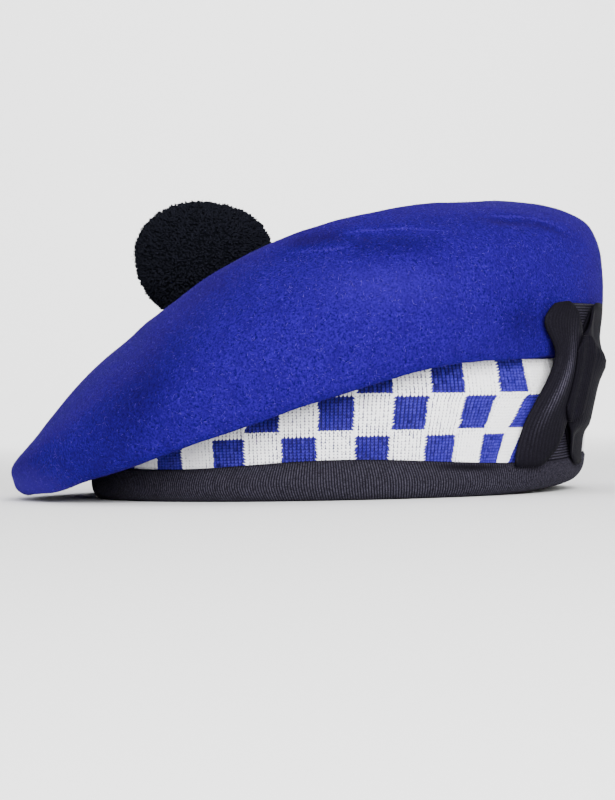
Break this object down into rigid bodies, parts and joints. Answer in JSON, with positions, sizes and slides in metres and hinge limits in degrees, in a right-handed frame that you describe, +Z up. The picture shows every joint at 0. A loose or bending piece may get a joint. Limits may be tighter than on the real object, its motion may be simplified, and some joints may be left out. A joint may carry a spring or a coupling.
{
  "type": "balmoral bonnet",
  "caption": "Soft felted wool bonnet with a slouched hollow crown, pompom, knitted diced band, ribbon headband and side cockade, resting on its headband.",
  "frame": {"origin": "middle of the foot of the whole bonnet's box, on the surface it rests on", "axes": "+Z up, -Y towards the brow, +X towards the wearer's left, where the cockade sits; the crown slouches towards -X"},
  "size_m": [0.2252, 0.2464, 0.1115],
  "materials": {
    "felt": "felted royal blue wool, matt with a fine nap",
    "yarn": "trimmed black wool yarn",
    "knit": "plain knitted wool in blue and white checks",
    "ribbon": "black ribbed ribbon with a low sheen"
  },
  "bodies": {
    "root": {"crown": "felt", "toorie": "yarn", "diced_band": "knit", "headband": "ribbon", "cockade_tab": "ribbon", "cockade_front_loop": "ribbon", "cockade_rear_loop": "ribbon", "cockade_knot": "ribbon"}
  },
  "joints": []
}
